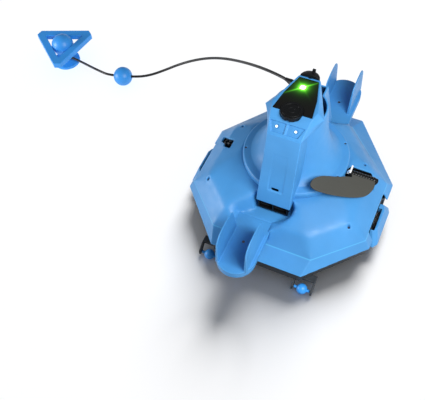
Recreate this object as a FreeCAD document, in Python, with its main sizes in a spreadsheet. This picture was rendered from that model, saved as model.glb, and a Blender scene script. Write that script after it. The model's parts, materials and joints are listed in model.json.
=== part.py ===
import FreeCAD, Part
import math
import os
import re
import Sketcher
from FreeCAD import Placement, Rotation, Vector

# Battery pool cleaner.  Frame: millimetres, +Z up, the front jet points to -Y, the origin
# lies on the pool floor under the middle of the machine.

DIMENSIONS = {
    # blue upper shell: four octagons, at the skirt's edge, the crease, the shoulder and the deck
    "skirt_side": 165.0, "skirt_nose": 180.0, "skirt_nose_half": 79.0, "skirt_front": 85.0,
    "skirt_rear": 56.0, "skirt_tail": 182.0, "skirt_tail_half": 71.0, "skirt_low": 46.0,
    "crease_side": 155.0, "crease_nose": 153.0, "crease_nose_half": 86.0, "crease_front": 84.0,
    "crease_rear": 40.0, "crease_tail": 140.0, "crease_tail_half": 61.0, "crease_high": 66.0,
    "shoulder_side": 126.0, "shoulder_nose": 134.0, "shoulder_nose_half": 70.0,
    "shoulder_front": 80.0, "shoulder_rear": 36.0, "shoulder_tail": 120.0,
    "shoulder_tail_half": 54.0, "shoulder_high": 98.5,
    "deck_side": 92.0, "deck_nose": 92.0, "deck_nose_half": 38.0, "deck_front": 38.0,
    "deck_rear": 38.0, "deck_tail": 92.0, "deck_tail_half": 38.0, "deck_high": 116.0,
    "wall": 3.0, "deck_opening": 79.0,
    # grey base tray
    "tray_low": 24.0, "tray_high": 46.0, "tray_inset": 6.0,
    # jet chutes: tongue, floor and fins
    "chute_x": -22.0, "chute_half": 32.0, "chute_start": 124.0, "chute_end": 235.0,
    "chute_floor": 84.0, "chute_low": 71.0, "trough_half": 28.0, "trough_start": 90.5,
    "trough_flare": 38.0, "fin_spread": 24.3, "fin_thick": 5.0, "fin_tip": 1.6,
    # tower and head
    "ring": 89.5, "ring_high": 127.0, "snout_half": 29.0, "snout_front": 104.6, "snout_low": 108.0,
    "column_front": 71.0, "column_rear": 54.0,
    "tower_high": 238.0, "head_high": 262.0, "lamp_spread": 15.2,
    # wheels and rollers
    "wheel_y": -23.0, "wheel_radius": 24.0, "wheel_in": 156.0, "wheel_out": 164.4,
    "hub_radius": 17.5, "axle_radius": 4.0, "recess_in": 154.8, "recess_half": 44.0,
    "guard_high": 51.5, "guard_out": 173.5, "guard_slot": 161.4,
    "roller_radius": 9.0, "roller_pin": 1.5, "bracket_half": 18.0,
    "front_roller_x": 84.0, "front_roller_y": -178.0, "rear_roller_x": 76.0, "rear_roller_y": 166.0,
    # steering flap hinge: its middle, its downward tilt, its turn in the deck, its pin
    "hinge_x": 117.0, "hinge_y": 3.6, "hinge_z": 110.0, "hinge_tilt": 27.0, "hinge_turn": 19.0,
    "hinge_pin": 2.0,
    # pump, motor and battery
    "duct_low": 88.5, "duct_high": 112.5, "duct_half": 25.6, "duct_end": 98.0, "impeller": 20.0,
    "shaft": 2.5, "blades": 6.0, "motor_radius": 21.0,
    # retrieval cord, bead and float
    "cord": 5.0, "bead": 19.5, "float_x": -579.0, "float_y": 147.0, "float_z": 46.0,
    "float_ball": 23.0, "float_side": 132.0,
    # running clearance of pins in bores
    "fit": 0.05,
}

doc = FreeCAD.newDocument("pool_cleaner")
sheet = doc.addObject("Spreadsheet::Sheet", "Dims")
for row, (alias, number) in enumerate(DIMENSIONS.items(), start=1):
    sheet.set("A%d" % row, alias)
    sheet.set("B%d" % row, str(number))
    sheet.setAlias("B%d" % row, alias)
doc.recompute()

NODES = {}


# ---------------------------------------------------------------- sheet and naming helpers
def bound(text):
    """Turn the words of a formula into references to the sheet."""
    return re.sub(r"[a-z]\w*", lambda word: "Dims." + word.group(), str(text))


def value(text):
    return float(sheet.evalExpression(bound(text)))


def bind(thing, property_name, text):
    thing.setExpression(property_name, bound(text))


def node(label, thing):
    """Register a finished sub-part under the name of its node."""
    thing.Label = label
    NODES[label] = thing
    return thing


# ---------------------------------------------------------------- primitives and booleans
def place(thing, position, rotation=Rotation()):
    thing.Placement = Placement(Vector(), rotation)
    for axis, text in zip("xyz", position):
        bind(thing, "Placement.Base." + axis, text)
    return thing


def box(name, low, high):
    thing = doc.addObject("Part::Box", name)
    for side, start, end in zip(("Length", "Width", "Height"), low, high):
        bind(thing, side, "(%s) - (%s)" % (end, start))
    return place(thing, low)


def cylinder(name, base, radius, height, direction=Vector(0, 0, 1)):
    thing = doc.addObject("Part::Cylinder", name)
    bind(thing, "Radius", radius)
    bind(thing, "Height", height)
    return place(thing, base, Rotation(Vector(0, 0, 1), direction))


def sphere(name, centre, radius, direction=Vector(0, 0, 1)):
    thing = doc.addObject("Part::Sphere", name)
    bind(thing, "Radius", radius)
    return place(thing, centre, Rotation(Vector(0, 0, 1), direction))


def union(name, things):
    thing = doc.addObject("Part::MultiFuse", name)
    thing.Shapes = things
    return thing


def cut(name, base, tools):
    thing = doc.addObject("Part::Cut", name)
    thing.Base = base
    thing.Tool = tools[0] if len(tools) == 1 else union(name + "_tools", tools)
    return thing


def group(name, things):
    """Separate solids that share one node."""
    thing = doc.addObject("Part::Compound", name)
    thing.Links = things
    return thing


def feature(name, shape, placement=Placement()):
    thing = doc.addObject("Part::Feature", name)
    thing.Shape = shape
    thing.Placement = placement
    return thing


# ---------------------------------------------------------------- bodies and sketches
def body(name):
    return doc.addObject("PartDesign::Body", name)


def origin_feature(owner, role):
    for item in owner.Origin.OriginFeatures:
        if item.Role == role:
            return item


def sketch(owner, name, role, height="0"):
    drawing = owner.newObject("Sketcher::SketchObject", name)
    drawing.AttachmentSupport = [(origin_feature(owner, role), "")]
    drawing.MapMode = "FlatFace"
    bind(drawing, "AttachmentOffset.Base.z", height)
    return drawing


def polygon(owner, name, role, points, height="0"):
    """A closed outline whose corners are bound to the sheet."""
    drawing = sketch(owner, name, role, height)
    corners = [Vector(value(x), value(y), 0) for x, y in points]
    count = len(corners)
    for index in range(count):
        drawing.addGeometry(Part.LineSegment(corners[index], corners[(index + 1) % count]))
    for index in range(count):
        drawing.addConstraint(Sketcher.Constraint("Coincident", index, 2, (index + 1) % count, 1))
    for index, (x, y) in enumerate(points):
        for kind, text in (("DistanceX", x), ("DistanceY", y)):
            rule = Sketcher.Constraint(kind, -1, 1, index, 1, value(text))
            number = drawing.addConstraint(rule)
            drawing.setExpression("Constraints[%d]" % number, bound(text))
    return drawing


def circle(owner, name, role, radius, height="0", centre=("0", "0")):
    drawing = sketch(owner, name, role, height)
    middle = Vector(value(centre[0]), value(centre[1]), 0)
    drawing.addGeometry(Part.Circle(middle, Vector(0, 0, 1), value(radius)))
    number = drawing.addConstraint(Sketcher.Constraint("Radius", 0, value(radius)))
    drawing.setExpression("Constraints[%d]" % number, bound(radius))
    for kind, text in (("DistanceX", centre[0]), ("DistanceY", centre[1])):
        number = drawing.addConstraint(Sketcher.Constraint(kind, -1, 1, 0, 3, value(text)))
        drawing.setExpression("Constraints[%d]" % number, bound(text))
    return drawing


def pad(owner, profile, length):
    step = owner.newObject("PartDesign::Pad", profile.Name + "_pad")
    step.Profile = profile
    bind(step, "Length", length)
    return step


def pocket(owner, profile, length, upward=True):
    step = owner.newObject("PartDesign::Pocket", profile.Name + "_pocket")
    step.Profile = profile
    bind(step, "Length", length)
    step.Reversed = upward
    return step


def revolve(owner, profile, groove=False):
    kind = "PartDesign::Groove" if groove else "PartDesign::Revolution"
    step = owner.newObject(kind, profile.Name + "_turn")
    step.Profile = profile
    step.ReferenceAxis = (profile, ["V_Axis"])
    step.Angle = 360
    return step


def loft(owner, sections, name):
    step = owner.newObject("PartDesign::AdditiveLoft", name)
    step.Profile = sections[0]
    step.Sections = sections[1:]
    step.Ruled = True
    return step


def around(owner, feature_made, axis, count):
    """Repeat a feature about an axis of the body."""
    pattern = owner.newObject("PartDesign::PolarPattern", feature_made.Name + "_pattern")
    pattern.Originals = [feature_made]
    pattern.Axis = (origin_feature(owner, axis), [""])
    pattern.Angle = 360
    bind(pattern, "Occurrences", count)
    owner.Tip = pattern
    return pattern


def prism(name, points, low, high):
    owner = body(name)
    pad(owner, polygon(owner, name + "_outline", "XY_Plane", points, low), "(%s) - (%s)" % (high, low))
    return owner


def disc(name, radius, low, high, centre=("0", "0")):
    owner = body(name)
    pad(owner, circle(owner, name + "_circle", "XY_Plane", radius, low, centre), "(%s) - (%s)" % (high, low))
    return owner


# ---------------------------------------------------------------- blue shell and grey tray
def octagon(level, inset="0"):
    """The eight corners at one level, moved inwards; the corner slides 0.4 of the inset."""
    side = "%s_side - (%s)" % (level, inset)
    nose = "%s_nose - (%s)" % (level, inset)
    tail = "%s_tail - (%s)" % (level, inset)
    front = "%s_front - 0.4 * (%s)" % (level, inset)
    rear = "%s_rear - 0.4 * (%s)" % (level, inset)
    nose_half = "%s_nose_half - 0.4 * (%s)" % (level, inset)
    tail_half = "%s_tail_half - 0.4 * (%s)" % (level, inset)
    return [("-(%s)" % nose_half, "-(%s)" % nose), (nose_half, "-(%s)" % nose),
            (side, "-(%s)" % front), (side, rear), (tail_half, tail),
            ("-(%s)" % tail_half, tail), ("-(%s)" % side, rear), ("-(%s)" % side, "-(%s)" % front)]


def hull(name, inset, lower, drop):
    owner = body(name)
    levels = (("skirt", "skirt_low - (%s)" % lower), ("crease", "crease_high - (%s)" % drop),
              ("shoulder", "shoulder_high - (%s)" % drop), ("deck", "deck_high - (%s)" % drop))
    sections = [polygon(owner, "%s_%s" % (name, level), "XY_Plane", octagon(level, inset), height)
                for level, height in levels]
    loft(owner, sections, name + "_loft")
    return owner


def facing(sign):
    """Everything at the front is drawn once; the rear is the same turned half a turn."""
    return Placement(Vector(), Rotation(Vector(0, 0, 1), 0 if sign < 0 else 180))


def valley_outline(grow, flare):
    """The jet's way from the snout to the tongue, at one level; flare opens its sides outwards."""
    half = value("trough_half") + grow
    mouth = value("snout_half") + 1 + grow
    start = -value("trough_start") + grow
    lip, end = -value("snout_front") - 4, -value("chute_end") - 20
    middle, bend = value("chute_x"), -value("chute_start")
    near, far = middle - half - flare, middle + half + flare
    side = mouth + 0.3 * flare
    return [(-mouth, start), (mouth, start), (side, lip + 0.15 * flare), (far, bend - 0.15 * flare),
            (far, end), (near, end), (near, bend - 0.15 * flare), (-side, lip + 0.15 * flare)]


def valley(name, grow, sign):
    """The room over the jet's way, with a flat floor and sides that open towards the deck."""
    low, high = value("chute_floor") - grow, value("deck_high") + 1
    shape = ruled_block([(valley_outline(grow, 0), low), (valley_outline(grow, value("trough_flare")), high)])
    return feature(name, shape, facing(sign))


def notch(name, sign):
    """Where the tongue passes through the shell, under the valley's sides."""
    half = value("chute_half") + 0.2
    low, high = value("chute_low") - 0.2, value("chute_floor") + 0.1
    start, end = value("chute_start"), value("chute_end") + 20
    shape = Part.makeBox(2 * half, end - start, high - low, Vector(value("chute_x") - half, -end, low))
    return feature(name, shape, facing(sign))


HINGE_SIDES = {"right": 1, "left": -1}
# each hinge place in its own frame: the window's outline, where its two ears start, and the
# (y, z) of the row of ear holes; the unused left one is small and sunk into the deck
WINDOWS = {"right": [(-29, -10), (29, -10), (33, 4), (22, 17.5), (-19, 17.5), (-29, 6)],
           "left": [(-40, 3), (-12, -4), (1, -3.5), (8, -22), (-12, -22), (-15, -15), (-36, -8)]}
EAR_STARTS = {"right": (-27, 24), "left": (-12, -2)}
EAR_ROWS = {"right": (0, 0), "left": (-12.5, -8)}
EAR_THICK = 3
EAR_RADIUS = 5
TUB_LOW = -22
TUB_WALL = 2


def hinge_frame(side):
    """Hinge axes: local x runs down and to the rear, local z stands off the deck."""
    sign = HINGE_SIDES[side]
    middle = Vector(sign * value("hinge_x"), value("hinge_y"), value("hinge_z"))
    tilt = Rotation(Vector(0, 1, 0), sign * value("hinge_tilt"))
    return Placement(middle, tilt.multiply(Rotation(Vector(0, 0, 1), sign * value("hinge_turn"))))


def window_prism(side, grow, low, high):
    """The window's outline, moved outwards and drawn up, in the hinge frame."""
    corners = [Vector(x, y, low) for x, y in WINDOWS[side]]
    face = Part.Face(Part.makePolygon(corners + corners[:1]))
    if grow:
        face = face.makeOffset2D(grow)
    return face.extrude(Vector(0, 0, high - low))


SCREW_PLACES = [("-124", "-86.6"), ("124", "-86.6"), ("-111.7", "33.8"), ("111.7", "33.8")]
SCREW_HEAD = "2.3"
SCREW_SEAT = "2.4"
SCREW_SHANK = "1.3"


def tower_screw_places():
    """Screws through the tower's flange, on one circle."""
    return [(84.5 * math.cos(math.radians(angle)), 84.5 * math.sin(math.radians(angle)))
            for angle in (-17, 34, 146, 197)]


def deck_height(outer, x, y):
    line = Part.makeLine(Vector(x, y, 60), Vector(x, y, 200))
    return outer.common(line).BoundBox.ZMax


def wheel_recess(name, side, gap):
    """Room for a side wheel, cut in from the edge of the machine."""
    inner, outer = "recess_in - (%s)" % gap, "190"
    low, high = (inner, outer) if side > 0 else ("-" + outer, "-(%s)" % inner)
    half = "(recess_half + (%s))" % gap
    return box(name, (low, "wheel_y - " + half, "10"), (high, "wheel_y + " + half, "80"))


def make_shell():
    outer = hull("shell_outer", "0", "0", "0")
    inner = hull("shell_inner", "wall", "1", "wall")
    doc.recompute()
    ends = {"front": -1, "rear": 1}
    valleys = [valley("valley_" + end, 0, sign) for end, sign in ends.items()]
    liners = [valley("liner_" + end, value("wall"), sign) for end, sign in ends.items()]
    notches = [notch("notch_" + end, sign) for end, sign in ends.items()]
    skin = cut("shell_skin", cut("shell_dug", outer, valleys), [cut("shell_room", inner, liners)])
    bosses, holes = [], []
    for index, (x, y) in enumerate(SCREW_PLACES):
        top = deck_height(outer.Shape, float(x), float(y))
        post = cylinder("boss_%d" % index, (x, y, "tray_high"), "6.5", "60")
        bosses.append(cut("boss_cut_%d" % index, post, [box("above_%d" % index,
                      (x + " - 9", y + " - 9", str(top - 3.4)), (x + " + 9", y + " + 9", "150"))]))
        holes.append(cylinder("seat_%d" % index, (x, y, str(top - 7)), SCREW_SEAT, "30"))
        holes.append(cylinder("pilot_%d" % index, (x, y, "40"), SCREW_SHANK, "70"))
    windows = [feature("window_" + side, window_prism(side, 0, -40, 25), hinge_frame(side))
               for side in HINGE_SIDES]
    recesses = [wheel_recess("recess_right", 1, "0"), wheel_recess("recess_left", -1, "0")]
    opening = cylinder("tower_opening", ("0", "0", "100"), "deck_opening", "40")
    passage = box("duct_passage", ("-duct_half - 0.2", "-112", "duct_low - 0.2"),
                  ("duct_half + 0.2", "112", "duct_high + 0.2"))
    for index, (x, y) in enumerate(tower_screw_places()):
        holes.append(cylinder("deck_pilot_%d" % index, (str(x), str(y), "deck_high - 8"), "1.2", "20"))
    solid = union("shell_solid", [skin] + bosses)
    return node("upper_shell", cut("upper_shell", solid,
                notches + holes + windows + recesses + [opening, passage]))


def make_tray():
    outer = prism("tray_outer", octagon("skirt", "tray_inset"), "tray_low", "tray_high")
    room = prism("tray_inner", octagon("skirt", "tray_inset + wall"), "tray_low + wall", "tray_high + 5")
    recesses = [wheel_recess("tray_recess_right", 1, "0"), wheel_recess("tray_recess_left", -1, "0")]
    walls = [wheel_recess("tray_wall_right", 1, "wall"), wheel_recess("tray_wall_left", -1, "wall")]
    skin = cut("tray_skin", cut("tray_dug", outer, recesses), [cut("tray_room", room, walls)])
    extras, holes = [], []
    for index, (x, y) in enumerate(SCREW_PLACES):
        extras.append(cylinder("post_%d" % index, (x, y, "tray_low + 1"), "6.5", "tray_high - tray_low - 1"))
        holes.append(cylinder("post_pilot_%d" % index, (x, y, "34"), SCREW_SHANK, "30"))
    for side in (1, -1):
        near, far = ("134", "148") if side > 0 else ("-148", "-134")
        extras.append(box("axle_block_%d" % (side + 1), (near, "wheel_y - 9", "tray_low + 1"),
                          (far, "wheel_y + 9", "wheel_radius + 9")))
    holes.append(cylinder("axle_way", ("-160", "wheel_y", "wheel_radius"), "axle_radius", "320",
                          Vector(1, 0, 0)))
    holes.append(box("mouth", ("-78", "-21", "20"), ("78", "21", "40")))
    return node("base_tray", cut("base_tray", union("tray_solid", [skin] + extras), holes))


def fin_shape(x):
    """A fin: steep inner edge, rounded crest, upright outer edge."""
    floor = value("chute_floor") - 1
    foot_in, foot_out = Vector(x, -150, floor), Vector(x, -224.5, floor)
    nose, crest, back = Vector(x, -158, 130), Vector(x, -170, 140.5), Vector(x, -198, 143)
    heel = Vector(x, -222.5, 119)
    edges = [Part.LineSegment(foot_in, nose), Part.Arc(nose, Vector(x, -161.6, 137), crest),
             Part.Arc(crest, Vector(x, -184, 143), back), Part.Arc(back, Vector(x, -215.5, 136), heel),
             Part.LineSegment(heel, foot_out), Part.LineSegment(foot_out, foot_in)]
    wire = Part.Wire([edge.toShape() for edge in edges])
    thick, tip = value("fin_thick"), value("fin_tip")
    blade = Part.Face(wire).extrude(Vector(thick, 0, 0)).translated(Vector(-thick / 2, 0, 0))
    taper = ruled_block([(rectangle(thick / 2, -230, -140), floor), (rectangle(tip / 2, -230, -140), 144)])
    return blade.common(taper.translated(Vector(x, 0, 0)))


def make_chute(end, sign):
    """Tongue with a rounded end, hollow underneath, and its two fins."""
    half, low, floor = value("chute_half"), value("chute_low"), value("chute_floor")
    wall, x = value("wall"), value("chute_x")
    round_y = half - value("chute_end")

    def tongue(inset, bottom, top, back):
        plate = Part.makeBox(2 * (half - inset), -round_y - value("chute_start") - back, top - bottom,
                             Vector(x - half + inset, round_y, bottom))
        return plate.fuse(Part.makeCylinder(half - inset, top - bottom, Vector(x, round_y, bottom)))

    shape = tongue(0, low, floor, 0).cut(tongue(wall, low - 1, floor - wall, wall))
    for offset in (-value("fin_spread"), value("fin_spread")):
        shape = shape.fuse(fin_shape(x + offset))
    hole = Part.makeCylinder(float(SCREW_SEAT), 40, Vector(x, -174, floor - 2.2))
    pilot = Part.makeCylinder(float(SCREW_SHANK), 40, Vector(x, -174, low - 1))
    post = Part.makeCylinder(5, floor - low, Vector(x, -174, low))
    shape = shape.fuse(post).cut(hole.fuse(pilot)).removeSplitter()
    return node(end + "_chute", feature(end + "_chute", shape, facing(sign)))


# ---------------------------------------------------------------- tower and head
def ruled_block(sections):
    """A block through horizontal sections, each given as (points, height)."""
    wires = [Part.makePolygon([Vector(x, y, height) for x, y in points + points[:1]])
             for points, height in sections]
    return Part.makeLoft(wires, True, True)


def rectangle(half, near, far):
    return [(-half, near), (half, near), (half, far), (-half, far)]


def tower_form(inset, bottom):
    """Round flange that sweeps up into a column, with a snout in front and behind."""
    ring, ring_high, top = value("ring"), value("ring_high"), value("tower_high")
    foot = ring if inset == 0 else value("deck_opening")
    flare = [(76 - inset, ring_high + 2.5 - inset), (64 - inset, 141 - inset),
             (54 - inset, 163), (47.5 - inset, 196), (43 - inset, top + (1 if inset else 0))]
    curve = Part.BSplineCurve()
    curve.interpolate([Vector(x, 0, z) for x, z in flare])
    brim = [Vector(flare[-1][0], 0, flare[-1][1]), Vector(0, 0, flare[-1][1]), Vector(0, 0, bottom),
            Vector(foot, 0, bottom), Vector(foot, 0, ring_high - 3 - inset),
            Vector(foot - 2 if inset == 0 else 76, 0, ring_high - inset), Vector(flare[0][0], 0, flare[0][1])]
    edges = [curve.toShape()] + [Part.makeLine(a, b) for a, b in zip(brim, brim[1:])]
    solid = Part.Face(Part.Wire(edges)).revolve(Vector(), Vector(0, 0, 1), 360)
    rear = snout_form(inset, value("column_rear"))
    rear.rotate(Vector(), Vector(0, 0, 1), 180)
    return solid.fuse([snout_form(inset, value("column_front")), rear])


def snout_form(inset, reach):
    """Flat-fronted rib from the jet's lip up to the head; reach is its depth under the head."""
    half, front, low = value("snout_half"), value("snout_front"), value("snout_low")
    deck, top = value("deck_high"), value("tower_high")
    drop = 1 if inset else 0
    back = -86 if inset else -91.2
    lip = ruled_block([(rectangle(half - inset, -front + inset, back), low - drop),
                       (rectangle(half - inset, -front + 2.1 + inset, back), deck)])
    column = ruled_block([(rectangle(half - inset, -front + 2.1 + inset, -55), deck),
                          (rectangle(half - 2 - inset, -reach + inset, -20), top + drop)])
    return lip.fuse(column)


def make_tower():
    shell = tower_form(0, value("deck_high")).cut(tower_form(value("wall"), value("deck_high") - 1))
    for x, y in tower_screw_places():
        shell = shell.cut(Part.makeCylinder(2.1, 10, Vector(x, y, value("ring_high") - 2.5)))
        shell = shell.cut(Part.makeCylinder(1.2, 30, Vector(x, y, 110)))
    panel = ruled_block([(rectangle(13, -110, -96.2), 134), (rectangle(12.5, -110, -79.1), 206)])
    drain = Part.makeBox(12, 12, 4.5, Vector(-7, -101, 135))
    return node("tower_housing", feature("tower_housing", shell.cut([panel, drain])))


HEAD_LOW = [(-27, -71), (27, -71), (42, -30), (20, 34), (11, 43), (-11, 43), (-20, 34), (-42, -30)]
HEAD_MIDDLE = [(-30, -54), (30, -54), (47, -28), (20, 36), (11, 46), (-11, 46), (-20, 36), (-47, -28)]
HEAD_TOP = [(-33, -42), (33, -42), (36, -27), (18, 36), (9.5, 46), (-9.5, 46), (-18, 36), (-36, -27)]
HEAD_WIDEST = 252
LAMP_DEPTH = 2.5
DISPLAY = [(-31, -40), (31, -40), (26, -4), (15.5, 34), (-15.5, 34), (-26, -4)]
DIAL = Vector(-1.5, -37, 256.2)
LED = Vector(-3, 14, 250)
CORD_EXIT = Vector(-28, 30, 250)
CORD_WAY = Vector(17, -8, 3)


def grown(points, amount):
    """A polygon with every corner moved away from the middle of its box."""
    return [(x + amount * math.copysign(1, x), y + amount * math.copysign(1, y)) for x, y in points]


def lamp_axis():
    """Normal of the head's sloping front face."""
    return Vector(0, -24, 29).normalize()


def lamp_place(side):
    return Vector(side * value("lamp_spread") - 1, -60.6, 246.6)


def lamp_recess(side):
    """Sunken pane round one lamp; a rib stays between the two."""
    corners = [Vector(side * x, y, 0) for x, y in ((-14, -9), (6, -9), (12.8, 7.5), (-14, 7.5))]
    pane = Part.Face(Part.makePolygon(corners + corners[:1]))
    pane.translate(Vector(0, 0, -LAMP_DEPTH))
    block = pane.extrude(Vector(0, 0, 20))
    block.Placement = Placement(lamp_place(side), Rotation(Vector(0, 0, 1), lamp_axis()))
    return block


def head_room(points, inset, back):
    """The hollow at one level: inset all round, and further back behind the lamps."""
    return [(x, y + back if y < -35 else y) for x, y in grown(points, -inset)]


def make_head():
    low, top = value("tower_high"), value("head_high")
    outer = ruled_block([(HEAD_LOW, low), (HEAD_MIDDLE, HEAD_WIDEST), (HEAD_TOP, top)])
    room = ruled_block([(head_room(HEAD_LOW, 3, 9), low - 0.1), (head_room(HEAD_MIDDLE, 4, 9), HEAD_WIDEST),
                        (head_room(HEAD_TOP, 5, 4), top - 6)])
    cover_low = top - 3
    seat = ruled_block([(grown(DISPLAY, 0.2), cover_low), (grown(DISPLAY, 0.2), top + 5)])
    shape = outer.cut([room, seat])
    dial_seat = Part.makeCylinder(17.9, 20, DIAL - Vector(0, 0, 0.2))
    dial_way = Part.makeCylinder(3.05, 20, DIAL - Vector(0, 0, 12))
    led_way = Part.makeCylinder(2.5, 20, LED)
    socket_way = Part.makeCylinder(4.1, 30, Vector(0, 40.5, 244))
    cord_way = Part.makeCylinder(5, 20, CORD_EXIT + CORD_WAY, CORD_WAY * -1)
    shape = shape.cut([dial_seat, dial_way, led_way, socket_way, cord_way])
    for side in (-1, 1):
        lens_way = Part.makeCylinder(3, 30, lamp_place(side) - lamp_axis() * 15, lamp_axis())
        shape = shape.cut([lens_way, lamp_recess(side)])
    node("head_bezel", feature("head_bezel", shape))
    cover = ruled_block([(DISPLAY, cover_low), (DISPLAY, top + 0.6)])
    cover = cover.cut([Part.makeCylinder(17.9, 20, DIAL - Vector(0, 0, 5)), led_way])
    node("display_cover", feature("display_cover", cover))
    node("status_led", cylinder("status_led", (str(LED.x), str(LED.y), "head_high - 6"), "2.45", "6.8"))
    lenses = [feature("lens_%d" % (side + 1), Part.makeCylinder(2.95, 8, lamp_place(side) - lamp_axis() * 10,
              lamp_axis())) for side in (-1, 1)]
    node("lamp_lenses", group("lamp_lenses", lenses))


def make_dial():
    """Round power dial with a short spindle; the rim has grip flats."""
    owner = body("power_dial")
    pad(owner, circle(owner, "dial_disc", "XY_Plane", "17.5", str(DIAL.z), (str(DIAL.x), str(DIAL.y))), "7.5")
    pad(owner, circle(owner, "dial_spindle", "XY_Plane", "3", str(DIAL.z - 8), (str(DIAL.x), str(DIAL.y))), "8.5")
    grip = [(str(DIAL.x + x), str(DIAL.y + y)) for x, y in ((-2, -20), (2, -20), (2, -16), (-2, -16))]
    pocket(owner, polygon(owner, "dial_mark", "XY_Plane", grip, str(DIAL.z - 1)), "20")
    node("power_dial", owner)


def make_charge_cap():
    """Rubber cap over the charging socket, hinged along its front edge, with a pull tab."""
    low = value("head_high") + 0.1
    dome = Part.makeSphere(30, Vector(0, 35, low - 23)).common(Part.makeCylinder(16, 8, Vector(0, 35, low)))
    dome = dome.cut(Part.makeBox(60, 20, 40, Vector(-30, 16.8, low - 10)))
    tab = Part.makeBox(5, 4, 9, Vector(0, 46, low))
    node("charge_cap", feature("charge_cap", dome.fuse(tab).removeSplitter()))
    tube = cylinder("socket_tube", ("0", "40.5", "246"), "4", "head_high - 246")
    well = cylinder("socket_well", ("0", "40.5", "250"), "2.2", "20")
    node("charge_socket", cut("charge_socket", tube, [well]))


# ---------------------------------------------------------------- jets, pump, motor, battery
def make_jets():
    outer = box("duct_outer", ("-duct_half", "-duct_end", "duct_low"), ("duct_half", "duct_end", "duct_high"))
    inner = box("duct_inner", ("-duct_half + 2.5", "-duct_end - 1", "duct_low + 2.5"),
                ("duct_half - 2.5", "duct_end + 1", "duct_high - 2.5"))
    eye = cylinder("duct_eye", ("0", "0", "duct_low - 1"), "18", "5")
    shaft_way = cylinder("duct_shaft_way", ("0", "0", "duct_high - 5"), "6", "10")
    node("jet_duct", cut("jet_duct", outer, [inner, eye, shaft_way]))
    for end, sign in (("front", -1), ("rear", 1)):
        near, far = ("-103.5", "-duct_end - 0.1") if sign < 0 else ("duct_end + 0.1", "103.5")
        frame = box(end + "_frame", ("-26", near, "duct_low"), ("26", far, "snout_low - 0.3"))
        halves = [box("%s_half_%d" % (end, index), (left, near + " - 1", "duct_low + 2.5"),
                      (right, far + " + 1", "snout_low - 2.8"))
                  for index, (left, right) in enumerate((("-23.5", "-1"), ("1", "23.5")))]
        node(end + "_nozzle", cut(end + "_nozzle", frame, halves))
    ring = body("jet_selector")
    pad(ring, circle(ring, "selector_rim", "XY_Plane", "22.9", "duct_low + 3"), "duct_high - duct_low - 6")
    pocket(ring, circle(ring, "selector_bore", "XY_Plane", "21.4", "duct_low + 2"), "40")
    window = [("-19", "-30"), ("19", "-30"), ("19", "-5"), ("-19", "-5")]
    pocket(ring, polygon(ring, "selector_window", "XY_Plane", window, "duct_low + 5"),
           "duct_high - duct_low - 10")
    node("jet_selector", ring)


def make_rotor():
    wheel = body("impeller")
    pad(wheel, circle(wheel, "impeller_hub", "XY_Plane", "7", "duct_low + 5"), "14")
    blade = [("6", "-1"), ("impeller", "-1"), ("impeller", "1"), ("6", "1")]
    vane = pad(wheel, polygon(wheel, "impeller_blade", "XY_Plane", blade, "duct_low + 5"), "12")
    doc.recompute()
    around(wheel, vane, "Z_Axis", "blades")
    pocket(wheel, circle(wheel, "impeller_bore", "XY_Plane", "shaft", "duct_low"), "40")
    node("impeller", wheel)
    node("drive_shaft", cylinder("drive_shaft", ("0", "0", "duct_low + 5"), "shaft", "duct_high + 10 - duct_low - 5"))


def make_drive():
    bearing = body("shaft_bearing")
    pad(bearing, circle(bearing, "bearing_outside", "XY_Plane", "6", "duct_high - 2.5"), "6.4")
    pocket(bearing, circle(bearing, "bearing_bore", "XY_Plane", "shaft + fit", "duct_high - 3"), "10")
    node("shaft_bearing", bearing)
    motor = disc("motor_case", "motor_radius", "duct_high + 4.5", "170")
    well = disc("motor_well", "shaft + fit", "duct_high", "duct_high + 10.5")
    node("motor", cut("motor", motor, [well]))
    can = disc("can_outside", "motor_radius + 3", "duct_high + 0.2", "174")
    room = disc("can_inside", "motor_radius + 0.1", "duct_high", "171")
    node("motor_can", cut("motor_can", can, [room]))
    seal = body("shaft_seal")
    pad(seal, circle(seal, "seal_outside", "XY_Plane", "motor_radius - 1", "duct_high + 0.2"), "3.6")
    pocket(seal, circle(seal, "seal_inside", "XY_Plane", "6.1", "duct_high"), "10")
    node("shaft_seal", seal)
    node("battery_pack", box("battery_pack", ("-27", "-18", "178"), ("27", "18", "228")))
    node("battery_cradle", cut("battery_cradle", box("cradle_outside", ("-29", "-20", "174.2"), ("29", "20", "190")),
                               [box("cradle_inside", ("-27.2", "-18.2", "177.8"), ("27.2", "18.2", "200"))]))
    node("control_board", box("control_board", ("-15", "-28", "240"), ("15", "24", "241.6")))


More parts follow.
